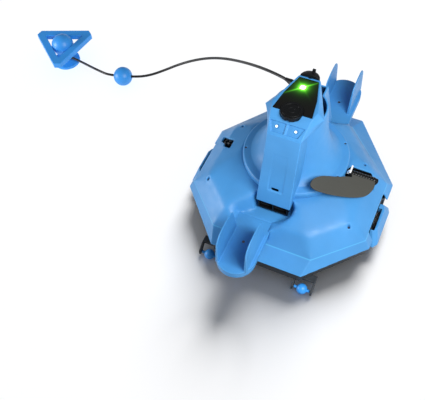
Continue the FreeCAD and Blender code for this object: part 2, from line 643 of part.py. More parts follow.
def make_intake():
    outside = box("throat_outside", ("-78", "-21", "9"), ("78", "21", "tray_low + 4"))
    inside = box("throat_inside", ("-75", "-18", "8"), ("75", "18", "tray_low + 10"))
    pins = [cylinder("flap_way_%d" % (side + 1), ("-76.5", str(side * 16.2), "tray_low + 1.5"), "1.2 + fit", "153",
                     Vector(1, 0, 0)) for side in (-1, 1)]
    node("intake_throat", cut("intake_throat", outside, [inside] + pins))
    for end, sign in (("front", -1), ("rear", 1)):
        near, far = ("-16.2", "-0.5") if sign < 0 else ("0.5", "16.2")
        rod = cylinder(end + "_rod", ("-76.3", str(sign * 16.2), "tray_low + 1.5"), "1.2", "152.6", Vector(1, 0, 0))
        leaf = box(end + "_leaf", ("-74.5", near, "tray_low + 1"), ("74.5", far, "tray_low + 2.2"))
        node(end + "_intake_flap", union(end + "_intake_flap", [rod, leaf]))
    frame = box("filter_outside", ("-88", "-78", "tray_low + 4.2"), ("88", "78", "56"))
    room = box("filter_inside", ("-85", "-75", "tray_low + 6.2"), ("85", "75", "60"))
    mouth = box("filter_mouth", ("-75", "-18", "20"), ("75", "18", "40"))
    node("filter_tray", cut("filter_tray", frame, [room, mouth]))
    node("filter_screen", box("filter_screen", ("-84.8", "-74.8", "52"), ("84.8", "74.8", "53.5")))
    wide = rectangle(88, -78, 78)
    narrow = rectangle(24, -24, 24)
    funnel = ruled_block([(wide, 56.2), (narrow, 88.3)])
    funnel = funnel.cut(ruled_block([(rectangle(85, -75, 75), 56.1), (rectangle(21, -21, 21), 88.4)]))
    node("suction_funnel", feature("suction_funnel", funnel))
    bars = [box("bar_%d" % index, ("-60", near, "tray_low + wall + 0.1"), ("60", far, "tray_low + 14"))
            for index, (near, far) in enumerate((("-142", "-112"), ("112", "142")))]
    node("ballast_bars", group("ballast_bars", bars))


# ---------------------------------------------------------------- wheels and rollers
def make_wheel(side, sign):
    """Hub and ribbed tyre; both are drawn about the Y axis, then laid along X."""
    hub = body("hub_" + side)
    profile = [("axle_radius + fit", "0.4"), ("hub_radius", "0"), ("hub_radius", "wheel_out - wheel_in"),
               ("hub_radius - 3", "wheel_out - wheel_in"), ("hub_radius - 6", "wheel_out - wheel_in - 3"),
               ("8", "wheel_out - wheel_in - 3"), ("8", "wheel_out - wheel_in - 0.4"),
               ("axle_radius + fit", "wheel_out - wheel_in - 0.4")]
    revolve(hub, polygon(hub, "hub_profile_" + side, "XZ_Plane", profile))
    tyre = body("tyre_" + side)
    rim = [("hub_radius", "0"), ("wheel_radius - 1.2", "0"), ("wheel_radius", "1.2"),
           ("wheel_radius", "wheel_out - wheel_in - 1.2"), ("wheel_radius - 1.2", "wheel_out - wheel_in"),
           ("hub_radius", "wheel_out - wheel_in")]
    revolve(tyre, polygon(tyre, "tyre_profile_" + side, "XZ_Plane", rim))
    slot = [("wheel_radius - 2", "-1.5"), ("wheel_radius + 3", "-1.5"), ("wheel_radius + 3", "1.5"),
            ("wheel_radius - 2", "1.5")]
    groove = pocket(tyre, polygon(tyre, "tread_" + side, "XY_Plane", slot, "-1"), "40")
    doc.recompute()
    around(tyre, groove, "Z_Axis", "16")
    start = value("wheel_in") if sign > 0 else -value("wheel_in")
    lay = Placement(Vector(start, value("wheel_y"), value("wheel_radius")),
                    Rotation(Vector(0, 0, 1), Vector(sign, 0, 0)))
    for thing in (hub, tyre):
        thing.Placement = lay
    node("wheel_hub_" + side, hub)
    node("tyre_" + side, tyre)
    make_guard(side, sign)
    return cylinder("axle_rod_" + side, (str(sign * 136), "wheel_y", "wheel_radius"), "axle_radius", "33.9",
                    Vector(sign, 0, 0))


def make_guard(side, sign):
    """Fender that closes over the outer part of a wheel and leaves a slot beside the shell."""
    y, radius, high = value("wheel_y"), value("wheel_radius"), value("guard_high")
    inner, outer, slot_end = value("recess_in") + 0.2, value("guard_out"), value("guard_slot")
    half, room_end, gap = value("recess_half") - 0.2, value("wheel_out") + 0.9, 1.3

    def plan(edge, reach):
        return [(inner, y - reach), (edge - 6, y - reach), (edge, y - reach + 9),
                (edge, y + reach - 9), (edge - 4, y + reach), (inner, y + reach)]

    outside = ruled_block([(plan(outer, half), value("tray_low")), (plan(outer, half), 27),
                           (plan(outer - 8, half - 15), high)])
    along = Vector(1, 0, 0)
    room = Part.makeCylinder(radius + gap, room_end - inner + 1, Vector(inner - 1, y, radius), along)
    well = Part.makeBox(room_end - inner + 1, 2 * (radius + gap), radius, Vector(inner - 1, y - radius - gap, 0))
    slot = Part.makeBox(slot_end - inner + 1, 47, 40, Vector(inner - 1, y - 27, radius))
    way = Part.makeCylinder(value("axle_radius"), 20, Vector(150, y, radius), along)
    shape = outside.cut([room, well, slot, way]).removeSplitter()
    if sign < 0:
        shape = shape.mirror(Vector(), along)
    node("wheel_guard_" + side, feature("wheel_guard_" + side, shape))


def make_roller(name, x, y):
    """A ball on its pin, held by two gusseted prongs that reach out from under the tray."""
    radius, along = "roller_radius", Vector(1, 0, 0)
    ball = union(name + "_ball", [sphere(name + "_sphere", (x, y, radius), radius, along),
                                  cylinder(name + "_sleeve", (x + " - 14", y, radius), "2.4", "28", along)])
    bore = cylinder(name + "_bore", (x + " - 20", y, radius), "roller_pin + fit", "40", along)
    node("roller_" + name, cut("roller_" + name, ball, [bore]))
    middle, axis = value(x), value(y)
    out, half, top = math.copysign(1, axis), value("bracket_half"), value("tray_low") - 0.1
    profile = [(-24, top), (-8, top), (5, 14), (5, 5.5), (-4, 5.5), (-12, 15), (-24, 20)]
    corners = [Vector(0, axis + out * reach, z) for reach, z in profile]
    prong = Part.Face(Part.makePolygon(corners + corners[:1])).extrude(along * 3)
    plate = Part.makeBox(2 * half, 13, top - 20, Vector(-half, min(axis - out * 24, axis - out * 11), 20))
    yoke = plate.fuse([prong.translated(along * -half), prong.translated(along * (half - 3))])
    yoke.translate(along * middle)
    way = Part.makeCylinder(value("roller_pin"), 40, Vector(middle - 20, axis, value(radius)), along)
    node("roller_bracket_" + name, feature("roller_bracket_" + name, yoke.cut(way).removeSplitter()))
    return cylinder(name + "_pin", (x + " - bracket_half + 0.1", y, radius), "roller_pin",
                    "2 * bracket_half - 0.2", along)


# ---------------------------------------------------------------- steering flap and its hinge
# the blade's edge in the hinge frame, from its neck round the free end and back
BLADE = [(-24, -9.2), (-34, -11), (-44.4, -14.8), (-57, -18.4), (-70, -21.6), (-83, -26.5), (-91.4, -32.4),
         (-96.6, -39.4), (-98, -46.5), (-93, -51.4), (-81.5, -53.4), (-62.3, -52.6), (-42.7, -50.1),
         (-24.3, -46.3), (-5.7, -40.3), (5.6, -34), (13, -26), (18.5, -17), (20.6, -9.2)]
BLADE_LOW = 1.6
BLADE_THICK = 2.6
BARREL_HALF = 23.6


def blade_shape():
    """Thin curved sheet: a smooth free edge, straight along the hinge."""
    edge = Part.BSplineCurve()
    edge.interpolate([Vector(x, y, BLADE_LOW) for x, y in BLADE])
    neck = Part.makeLine(edge.EndPoint, edge.StartPoint)
    return Part.Face(Part.Wire([edge.toShape(), neck])).extrude(Vector(0, 0, BLADE_THICK))


def make_bracket(side):
    """Tub under the window with two ears for the pin; it grips the deck round the window."""
    frame, along = hinge_frame(side), Vector(1, 0, 0)
    row_y, row_z = EAR_ROWS[side]
    shape = window_prism(side, TUB_WALL, TUB_LOW, 0).cut(window_prism(side, 0, TUB_LOW + TUB_WALL, 1))
    for start in EAR_STARTS[side]:
        stem = Part.makeBox(EAR_THICK, 2 * EAR_RADIUS, row_z - TUB_LOW - 1,
                            Vector(start, row_y - EAR_RADIUS, TUB_LOW + 1))
        shape = shape.fuse([stem, Part.makeCylinder(EAR_RADIUS, EAR_THICK, Vector(start, row_y, row_z), along)])
    shape = shape.cut(Part.makeCylinder(value("hinge_pin"), 80, Vector(-40, row_y, row_z), along))
    deck = NODES["upper_shell"].Shape.copy()
    deck.Placement = frame.inverse().multiply(deck.Placement)
    shape = max(shape.cut(deck).Solids, key=lambda solid: solid.Volume)
    node("flap_bracket_" + side, feature("flap_bracket_" + side, shape, frame))


def make_flap():
    """Pin with its pull clip, and the flap that swings on it."""
    frame, along = hinge_frame("right"), Vector(1, 0, 0)
    radius, fit = value("hinge_pin"), value("fit")
    first, last = EAR_STARTS["right"]
    pin = Part.makeCylinder(radius, last + EAR_THICK - first, Vector(first - 0.2, 0, 0), along)
    upright = Part.makeBox(3, 4, 7.5, Vector(first - 3.2, -2, -2))
    clip_low, clip_high = 5.2, 7.4
    corners = [Vector(x, y, clip_low) for x, y in ((-30.5, -4), (-27.4, -4), (-22.9, 10.7), (-25.8, 11.4))]
    clip = Part.Face(Part.makePolygon(corners + corners[:1])).extrude(Vector(0, 0, clip_high - clip_low))
    node("flap_pin", feature("flap_pin", pin.fuse([upright, clip]).removeSplitter(), frame))
    barrel = Part.makeCylinder(EAR_RADIUS, 2 * BARREL_HALF, Vector(-BARREL_HALF, 0, 0), along)
    neck = Part.makeBox(44, 10, BLADE_THICK, Vector(-BARREL_HALF + 0.2, -10, BLADE_LOW))
    bore = Part.makeCylinder(radius + fit, 60, Vector(-30, 0, 0), along)
    shape = barrel.fuse([blade_shape(), neck]).cut(bore).removeSplitter()
    node("steering_flap", feature("steering_flap", shape, frame))


# ---------------------------------------------------------------- fasteners
def make_screws():
    outer = doc.getObject("shell_outer").Shape
    heads = []
    for index, (x, y) in enumerate(SCREW_PLACES):
        top = deck_height(outer, float(x), float(y))
        head = cylinder("head_%d" % index, (x, y, str(top - 6.9)), SCREW_HEAD, "2.4")
        shank = cylinder("shank_%d" % index, (x, y, "36"), SCREW_SHANK, str(top - 5.5 - 36))
        heads.append(union("shell_screw_%d" % index, [head, shank]))
    small = []
    for index, (x, y) in enumerate(tower_screw_places()):
        head = cylinder("tower_head_%d" % index, (str(x), str(y), "ring_high - 2.4"), "2", "1.6")
        shank = cylinder("tower_shank_%d" % index, (str(x), str(y), "deck_high - 2.9"), "1.2",
                         "ring_high - deck_high + 1")
        small.append(union("tower_screw_%d" % index, [head, shank]))
    node("tower_screws", group("tower_screws", small))
    for sign in (1, -1):
        x, y = "%d * chute_x" % sign, str(-174 * sign)
        head = cylinder("chute_head_%d" % (sign + 1), (x, y, "chute_floor - 2.1"), SCREW_HEAD, "2")
        shank = cylinder("chute_shank_%d" % (sign + 1), (x, y, "chute_low + 1"), SCREW_SHANK,
                         "chute_floor - chute_low - 3")
        heads.append(union("chute_screw_%d" % (sign + 1), [head, shank]))
    node("shell_screws", group("shell_screws", heads))


# ---------------------------------------------------------------- retrieval cord, bead and float
CORD_ROUTE = [(-28, 30, 250), (-45, 38, 247), (-76, 56, 234), (-111, 82, 210), (-153, 114, 177),
              (-199, 144, 142), (-242, 163, 111), (-280, 170, 85), (-313, 169, 63), (-342, 162, 44),
              (-370, 151, 30), (-399, 142, 22), (-459, 128, 18), (-488, 134, 15), (-515, 140, 13),
              (-543, 145, 14), (-571.9, 146.9, 16)]


def bent_path(route):
    """Straight runs joined by tangent arcs, each as large as its two runs allow."""
    points = [Vector(*point) for point in route]
    edges, start, radii = [], points[0], []
    for before, corner, after in zip(points, points[1:], points[2:]):
        back, ahead = before - corner, after - corner
        turn = math.pi - back.getAngle(ahead)
        reach = 0.45 * min(back.Length, ahead.Length)
        radii.append(reach / math.tan(turn / 2))
        entry = corner + back.normalize() * reach
        leave = corner + ahead.normalize() * reach
        bisector = (back + ahead).normalize()
        middle = corner + bisector * (radii[-1] / math.cos(turn / 2) - radii[-1])
        edges += [Part.LineSegment(start, entry).toShape(), Part.Arc(entry, middle, leave).toShape()]
        start = leave
    edges.append(Part.LineSegment(start, points[-1]).toShape())
    print("cord radii", [round(radius) for radius in radii])
    return Part.Wire(edges)


def make_cord():
    path = bent_path(CORD_ROUTE)
    start = Vector(*CORD_ROUTE[0])
    way = (Vector(*CORD_ROUTE[1]) - start).normalize()
    radius = value("cord") / 2
    section = Part.Wire(Part.makeCircle(radius, start, way))
    tube = path.makePipeShell([section], True, False)
    print("cord length", round(path.Length), "volume ratio",
          round(tube.Volume / (math.pi * radius ** 2 * path.Length), 4))
    node("cord", feature("cord", tube))
    inward = way * -1
    collar = Part.makeCylinder(4.95, 13, start, inward)
    node("cord_grommet", feature("cord_grommet", collar))
    entry, leave = Vector(*CORD_ROUTE[11]), Vector(*CORD_ROUTE[12])
    along = (leave - entry).normalize()
    middle = (entry + leave) * 0.5
    middle.z = value("bead")
    ball = Part.makeSphere(value("bead"), middle)
    ball = ball.cut(Part.makeCylinder(3.1, 60, (entry + leave) * 0.5 - along * 30, along))
    node("bead", feature("bead", ball))


def triangle(side, cut_back, angle):
    """A triangle with its corners cut off, about the origin."""
    reach = side / math.sqrt(3)
    tips = [Vector(reach * math.cos(math.radians(angle + 120 * k)),
                   reach * math.sin(math.radians(angle + 120 * k)), 0) for k in range(3)]
    if not cut_back:
        return Part.makePolygon(tips + tips[:1])
    corners = []
    for index, tip in enumerate(tips):
        for other in (tips[index - 1], tips[(index + 1) % 3]):
            corners.append(tip + (other - tip).normalize() * cut_back)
    return Part.makePolygon(corners + corners[:1])


def make_float():
    centre = Vector(value("float_x"), value("float_y"), value("float_z"))
    side, radius = value("float_side"), value("float_ball")
    frame = Part.Face(triangle(side, 14, 172)).extrude(Vector(0, 0, 12))
    inner = Part.Face(triangle((radius + 0.15) * 2 * math.sqrt(3), 0, 172)).extrude(Vector(0, 0, 14))
    frame = frame.cut(inner.translated(Vector(0, 0, -1)))
    node("float_frame", feature("float_frame", frame, Placement(centre - Vector(0, 0, 6), Rotation())))
    ball = Part.makeSphere(radius, centre)
    stem = Part.makeCylinder(7, centre.z - 6 - 10, Vector(centre.x, centre.y, 6))
    node("float_ball", feature("float_ball", ball.fuse(stem).removeSplitter()))
    node("float_foot", cylinder("float_foot", ("float_x", "float_y", "0"), "28", "6"))


# ---------------------------------------------------------------- build everything
make_shell()
make_tray()
for end, sign in (("front", -1), ("rear", 1)):
    make_chute(end, sign)
make_tower()
make_head()
make_dial()
make_charge_cap()
make_jets()
make_rotor()
make_drive()
make_intake()
axles, pins = [], []
for side, sign in HINGE_SIDES.items():
    axles.append(make_wheel(side, sign))
    make_bracket(side)
make_flap()
node("wheel_axles", group("wheel_axles", axles))
for end, x, y in (("front", "front_roller_x", "front_roller_y"), ("rear", "rear_roller_x", "rear_roller_y")):
    pins.append(make_roller(end + "_right", x, y))
    pins.append(make_roller(end + "_left", "-" + x, y))
node("roller_pins", group("roller_pins", pins))
make_screws()
make_cord()
make_float()
doc.recompute()

# ---------------------------------------------------------------- check and write
faults = [item.Name for item in doc.Objects if "Invalid" in item.State or "Error" in item.State]
for label, thing in NODES.items():
    if thing.Shape.isNull() or not thing.Shape.isValid() or not thing.Shape.Solids:
        faults.append(label)
if faults:
    raise SystemExit("not built: " + ", ".join(faults))
os.makedirs("parts", exist_ok=True)
for label, thing in NODES.items():
    thing.Shape.exportStep("parts/%s.step" % label)
print(len(NODES), "sub-parts written")
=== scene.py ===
import json
import math
import bmesh
import bpy
from mathutils import Matrix, Vector

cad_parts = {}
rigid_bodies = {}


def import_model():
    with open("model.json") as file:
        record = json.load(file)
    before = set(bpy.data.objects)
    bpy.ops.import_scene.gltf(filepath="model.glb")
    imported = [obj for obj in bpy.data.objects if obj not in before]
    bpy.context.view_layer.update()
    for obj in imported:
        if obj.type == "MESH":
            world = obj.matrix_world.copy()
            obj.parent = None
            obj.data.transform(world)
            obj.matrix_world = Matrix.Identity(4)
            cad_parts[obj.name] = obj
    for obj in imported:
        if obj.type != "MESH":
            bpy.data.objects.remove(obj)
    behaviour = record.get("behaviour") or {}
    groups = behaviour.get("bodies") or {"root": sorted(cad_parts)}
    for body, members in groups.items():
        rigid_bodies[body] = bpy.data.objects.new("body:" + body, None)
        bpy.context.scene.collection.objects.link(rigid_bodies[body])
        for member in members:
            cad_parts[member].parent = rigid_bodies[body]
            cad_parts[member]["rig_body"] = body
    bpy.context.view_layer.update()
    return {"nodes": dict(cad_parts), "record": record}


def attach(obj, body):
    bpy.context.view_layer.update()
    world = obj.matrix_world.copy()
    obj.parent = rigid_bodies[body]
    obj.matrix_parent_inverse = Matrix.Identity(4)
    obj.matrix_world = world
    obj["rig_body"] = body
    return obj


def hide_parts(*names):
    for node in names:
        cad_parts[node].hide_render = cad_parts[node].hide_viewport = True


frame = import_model()
NODES = frame["nodes"]
MM = 0.001


def mm(*point):
    return Vector(point) * MM


# ------------------------------------------------------------------ camera
CAMERA_ANGLES = (28.4445, 54.928, -4.5265)
CAMERA_PLACE = (199.21, -675.20, 984.63)
CAMERA_LENS = 55.41


def make_camera():
    """Camera at the photograph's angle: azimuth from the front jet, elevation, roll."""
    azimuth, elevation, roll = (math.radians(angle) for angle in CAMERA_ANGLES)
    back = Vector((math.sin(azimuth) * math.cos(elevation), -math.cos(azimuth) * math.cos(elevation),
                   math.sin(elevation)))
    right = Vector((math.cos(azimuth), math.sin(azimuth), 0))
    up = back.cross(right)
    right, up = (right * math.cos(roll) + up * math.sin(roll), up * math.cos(roll) - right * math.sin(roll))
    data = bpy.data.cameras.new("camera")
    data.sensor_width = 36
    data.lens = CAMERA_LENS
    data.clip_end = 20
    camera = bpy.data.objects.new("camera", data)
    turn = Matrix((right, up, back)).transposed().to_4x4()
    camera.matrix_world = Matrix.Translation(mm(*CAMERA_PLACE)) @ turn
    bpy.context.scene.collection.objects.link(camera)
    bpy.context.scene.camera = camera


make_camera()


# ------------------------------------------------------------------ materials
def material(name):
    made = bpy.data.materials.new(name)
    made.use_nodes = True
    return made, made.node_tree, made.node_tree.nodes["Principled BSDF"]


def noise(tree, scale, detail=3.0, stretch=None):
    place = tree.nodes.new("ShaderNodeTexCoord")
    texture = tree.nodes.new("ShaderNodeTexNoise")
    texture.inputs["Scale"].default_value = scale
    texture.inputs["Detail"].default_value = detail
    source = place.outputs["Object"]
    if stretch:
        mapping = tree.nodes.new("ShaderNodeMapping")
        mapping.inputs["Scale"].default_value = stretch
        tree.links.new(source, mapping.inputs["Vector"])
        source = mapping.outputs["Vector"]
    tree.links.new(source, texture.inputs["Vector"])
    return texture.outputs["Fac"]


def ramp(tree, source, stops):
    """Maps a factor to colours; stops are (position, colour)."""
    node = tree.nodes.new("ShaderNodeValToRGB")
    while len(node.color_ramp.elements) < len(stops):
        node.color_ramp.elements.new(0.5)
    for element, (position, colour) in zip(node.color_ramp.elements, stops):
        element.position = position
        element.color = (*colour[:3], 1)
    tree.links.new(source, node.inputs["Fac"])
    return node.outputs["Color"]


def mix(tree, factor, first, second, kind="MIX"):
    node = tree.nodes.new("ShaderNodeMix")
    node.data_type = "RGBA"
    node.blend_type = kind
    for socket, value in ((node.inputs["Factor"], factor), (node.inputs[6], first), (node.inputs[7], second)):
        if hasattr(value, "is_linked"):
            tree.links.new(value, socket)
        elif socket.name == "Factor":
            socket.default_value = value
        else:
            socket.default_value = (*value[:3], 1)
    return node.outputs[2]


def bump(tree, shader, heights, strength, distance=0.0004):
    """Adds bump layers; heights is a list of (factor, share)."""
    normal = None
    for factor, share in heights:
        node = tree.nodes.new("ShaderNodeBump")
        node.inputs["Strength"].default_value = strength * share
        node.inputs["Distance"].default_value = distance
        tree.links.new(factor, node.inputs["Height"])
        if normal is not None:
            tree.links.new(normal, node.inputs["Normal"])
        normal = node.outputs["Normal"]
    tree.links.new(normal, shader.inputs["Normal"])


def scaled(colour, amount):
    return tuple(min(1.0, channel * amount) for channel in colour)


def maths(tree, kind, first, second=0.0):
    node = tree.nodes.new("ShaderNodeMath")
    node.operation = kind
    for socket, value in zip(node.inputs, (first, second)):
        if hasattr(value, "is_linked"):
            tree.links.new(value, socket)
        else:
            socket.default_value = value
    return node.outputs[0]


def falloff(tree, distance, width, power):
    """1 in the middle, a half at this width and fading out beyond it."""
    ratio = maths(tree, "POWER", maths(tree, "DIVIDE", distance, width), power)
    return maths(tree, "DIVIDE", 1.0, maths(tree, "ADD", ratio, 1.0))


def moulded(name, colour, rough=0.35, grain=1500, strength=0.25, edge_wear_and_highlight=0.12, cloudy=0.08,
            specular=0.5, crease=None, glow=None):
    """Moulded plastic: cloudy colour, lighter edges (partly scuffing, partly a painted edge highlight), fine grain
    and roughness that varies.

    crease is the height of an edge that runs level round the part, painted lighter along its length as a painted
    highlight;
    glow is the colour of a part that is lit from inside."""
    made, tree, shader = material(name)
    cloud = ramp(tree, noise(tree, 14, 4), [(0.3, scaled(colour, 1 - cloudy)), (0.7, scaled(colour, 1 + cloudy))])
    geometry = tree.nodes.new("ShaderNodeNewGeometry")
    # painted highlight mixed with scuffing: pointed edges are lightened in noisy patches, partly standing in for
    # light caught by the edges
    edge = ramp(tree, geometry.outputs["Pointiness"], [(0.505, (0, 0, 0)), (0.56, (1, 1, 1))])
    scuff_and_highlight_patches = ramp(tree, noise(tree, 160, 5), [(0.35, (0, 0, 0)), (0.62, (edge_wear_and_highlight, edge_wear_and_highlight, edge_wear_and_highlight))])
    rubbed_and_highlit_edges = mix(tree, 1.0, edge, scuff_and_highlight_patches, "MULTIPLY")
    wear_and_highlight_colour = mix(tree, rubbed_and_highlit_edges, cloud, scaled(colour, 1.9))
    if crease:
        split = tree.nodes.new("ShaderNodeSeparateXYZ")
        tree.links.new(tree.nodes.new("ShaderNodeTexCoord").outputs["Object"], split.inputs["Vector"])
        # painted highlight: a lighter band at the crease height stands in for light caught by the edge
        away = maths(tree, "ABSOLUTE", maths(tree, "SUBTRACT", split.outputs[2], crease * MM))
        painted_crease_highlight = maths(tree, "MULTIPLY", falloff(tree, away, 0.5 * MM, 4), 0.35)
        wear_and_highlight_colour = mix(tree, painted_crease_highlight, wear_and_highlight_colour, scaled(colour, 2.6))
    tree.links.new(wear_and_highlight_colour, shader.inputs["Base Color"])
    gloss = ramp(tree, noise(tree, 60, 5), [(0.3, (rough * 0.82,) * 3), (0.75, (rough * 1.2,) * 3)])
    tree.links.new(gloss, shader.inputs["Roughness"])
    if glow:
        shader.inputs["Emission Color"].default_value = (*glow, 1)
        shader.inputs["Emission Strength"].default_value = LAMP_POWER
    shader.inputs["Specular IOR Level"].default_value = specular
    bump(tree, shader, [(noise(tree, grain, 2), 1.0), (noise(tree, 35, 2), 0.5)], strength)
    return made


def metal(name, colour, rough=0.35):
    """Turned or brushed metal with fine streaks."""
    made, tree, shader = material(name)
    streak = noise(tree, 900, 3, (1, 1, 14))
    tree.links.new(ramp(tree, streak, [(0.3, scaled(colour, 0.85)), (0.7, colour)]), shader.inputs["Base Color"])
    tree.links.new(ramp(tree, streak, [(0.3, (rough,) * 3), (0.8, (rough * 1.4,) * 3)]), shader.inputs["Roughness"])
    shader.inputs["Metallic"].default_value = 1
    bump(tree, shader, [(streak, 1.0)], 0.12)
    return made


BLUE = (0.056, 0.262, 0.58)
BLUE_FLOAT = (0.030, 0.275, 0.74)
DECK_CREASE = 65.6
LAMP_POWER = 1.6
MATERIALS = {
    "blue_shell": moulded("shell_blue", BLUE, rough=0.47, edge_wear_and_highlight=0.3, specular=0.4, crease=DECK_CREASE),
    "blue_float": moulded("float_blue", BLUE_FLOAT, rough=0.42, edge_wear_and_highlight=0.2),
    "grey_base": moulded("base_grey", (0.023, 0.029, 0.036), rough=0.5, grain=900, strength=0.4),
    "black_plastic": moulded("black_matt", (0.004, 0.0045, 0.005), rough=0.3, grain=1100, strength=0.2, edge_wear_and_highlight=0.3,
                             specular=0.22),
    "flap_grey": moulded("flap_sheet", (0.062, 0.062, 0.054), rough=0.65, grain=900, strength=0.25, edge_wear_and_highlight=0.1,
                         cloudy=0.03, specular=0.25),
    "tyre_rubber": moulded("tyre", (0.010, 0.010, 0.011), rough=0.8, grain=500, strength=0.8, edge_wear_and_highlight=0.1),
    "seal_rubber": moulded("rubber", (0.005, 0.005, 0.006), rough=0.45, grain=800, strength=0.3, edge_wear_and_highlight=0.1,
                           specular=0.3),
    "cord_jacket": moulded("cord_jacket", (0.010, 0.009, 0.009), rough=0.4, grain=900, strength=0.2, edge_wear_and_highlight=0.05,
                           specular=0.35),
    "led_green": moulded("led", (0.2, 0.9, 0.15), rough=0.2, strength=0.05, glow=(0.7, 1.0, 0.6)),
    "steel": metal("steel", (0.16, 0.16, 0.17)),
    "zinc_bar": metal("zinc", (0.45, 0.46, 0.48), 0.5),
    "aluminium": metal("aluminium", (0.7, 0.7, 0.72), 0.3),
    "cell_wrap": moulded("cell_wrap", (0.03, 0.07, 0.25), rough=0.3),
    "board_green": moulded("board", (0.01, 0.10, 0.03), rough=0.35),
    "mesh_white": moulded("mesh", (0.6, 0.63, 0.65), rough=0.6, grain=2500, strength=0.9),
    "brass_bush": metal("brass", (0.65, 0.45, 0.18), 0.3),
    "white_nylon": moulded("nylon", (0.88, 0.89, 0.9), rough=0.4, edge_wear_and_highlight=0.0, cloudy=0.02),
}

LED = (-3.0, 13.9)
STREAK_ANGLE = 42.7


def display_gloss():
    """Black glossy cover with a painted glow round the status lamp: a core, a halo and one long streak, painted as
    emission fixed on the cover.
    """
    made, tree, shader = material("black_gloss")
    dust = noise(tree, 240, 5)
    shader.inputs["Base Color"].default_value = (0.004, 0.0035, 0.0035, 1)
    tree.links.new(ramp(tree, dust, [(0.3, (0.10,) * 3), (0.7, (0.16,) * 3)]), shader.inputs["Roughness"])
    shader.inputs["Specular IOR Level"].default_value = 0.25
    shader.inputs["Coat Weight"].default_value = 0.08
    bump(tree, shader, [(dust, 1.0)], 0.02)
    place = tree.nodes.new("ShaderNodeTexCoord")
    mapping = tree.nodes.new("ShaderNodeMapping")
    mapping.vector_type = "TEXTURE"
    mapping.inputs["Location"].default_value = (LED[0] * MM, LED[1] * MM, 0)
    mapping.inputs["Rotation"].default_value = (0, 0, math.radians(STREAK_ANGLE))
    mapping.inputs["Scale"].default_value = (MM, MM, MM)
    tree.links.new(place.outputs["Object"], mapping.inputs["Vector"])
    split = tree.nodes.new("ShaderNodeSeparateXYZ")
    tree.links.new(mapping.outputs["Vector"], split.inputs["Vector"])
    along, across = (maths(tree, "ABSOLUTE", split.outputs[axis]) for axis in (0, 1))
    apart = maths(tree, "SQRT", maths(tree, "ADD", maths(tree, "POWER", along, 2), maths(tree, "POWER", across, 2)))
    # painted glow: the core, halo, streak and tail are emission fixed on the cover, standing in for a star of light
    # round the status lamp
    core = maths(tree, "MULTIPLY", falloff(tree, apart, 4.2, 4), 5.0)
    halo = maths(tree, "MULTIPLY", falloff(tree, apart, 8.5, 4), 0.5)
    streak = maths(tree, "MULTIPLY", falloff(tree, across, 0.9, 2), falloff(tree, along, 15, 3))
    tail = maths(tree, "MULTIPLY", falloff(tree, along, 1.6, 2), falloff(tree, across, 10, 4))
    light = maths(tree, "ADD", maths(tree, "ADD", core, halo), maths(tree, "MULTIPLY", streak, 1.5))
    light = maths(tree, "ADD", light, maths(tree, "MULTIPLY", tail, 0.5))
    tint = ramp(tree, maths(tree, "MULTIPLY", light, 0.25),
                [(0.0, (0.10, 0.75, 0.02)), (0.6, (0.22, 1.0, 0.06)), (1.0, (0.6, 1.0, 0.5))])
    tree.links.new(tint, shader.inputs["Emission Color"])
    tree.links.new(light, shader.inputs["Emission Strength"])
    return made


MATERIALS["black_gloss"] = display_gloss()


LAMP = (-1.0, -60.6, 246.6)
LAMP_SPREAD = 15.2
LAMP_SLOPE = math.atan2(24, 29)


def lamp_glass():
    """Clear lens: a small bright core in a blue-tinted rim."""
    made, tree, shader = material("lamp_clear")
    place = tree.nodes.new("ShaderNodeTexCoord")
    mapping = tree.nodes.new("ShaderNodeMapping")
    mapping.vector_type = "TEXTURE"
    mapping.inputs["Location"].default_value = mm(*LAMP)
    mapping.inputs["Rotation"].default_value = (LAMP_SLOPE, 0, 0)
    mapping.inputs["Scale"].default_value = (MM, MM, MM)
    tree.links.new(place.outputs["Object"], mapping.inputs["Vector"])
    split = tree.nodes.new("ShaderNodeSeparateXYZ")
    tree.links.new(mapping.outputs["Vector"], split.inputs["Vector"])
    across = maths(tree, "SUBTRACT", maths(tree, "ABSOLUTE", split.outputs[0]), LAMP_SPREAD)
    apart = maths(tree, "SQRT", maths(tree, "ADD", maths(tree, "POWER", maths(tree, "ABSOLUTE", across), 2),
                                      maths(tree, "POWER", maths(tree, "ABSOLUTE", split.outputs[1]), 2)))
    core = falloff(tree, apart, 1.6, 8)
    glow = ramp(tree, noise(tree, 300, 2), [(0.3, (0.75, 0.9, 1.0)), (0.7, (1, 1, 1))])
    tree.links.new(mix(tree, core, scaled(BLUE, 0.9), glow), shader.inputs["Base Color"])
    tree.links.new(glow, shader.inputs["Emission Color"])
    tree.links.new(maths(tree, "MULTIPLY", core, LAMP_POWER), shader.inputs["Emission Strength"])
    shader.inputs["Roughness"].default_value = 0.15
    bump(tree, shader, [(noise(tree, 400, 2), 1.0)], 0.1)
    return made


MATERIALS["lamp_clear"] = lamp_glass()


LOOKS = {entry["node"]: entry["material_slot"] for entry in frame["record"]["subparts"]}
for node_name, look_name in LOOKS.items():
    NODES[node_name].data.materials.clear()
    NODES[node_name].data.materials.append(MATERIALS[look_name])


# ------------------------------------------------------------------ pieces and helpers
def piece(name, mesh, body, look):
    thing = bpy.data.objects.new(name, mesh)
    bpy.context.scene.collection.objects.link(thing)
    mesh.materials.clear()
    mesh.materials.append(MATERIALS[look])
    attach(thing, body)
    return thing


def settle(thing):
    """Applies the modifiers, so that the piece is a plain smooth-shaded mesh."""
    bpy.context.view_layer.update()
    graph = bpy.context.evaluated_depsgraph_get()
    mesh = bpy.data.meshes.new_from_object(thing.evaluated_get(graph))
    thing.modifiers.clear()
    thing.data = mesh
    for face in mesh.polygons:
        face.use_smooth = True


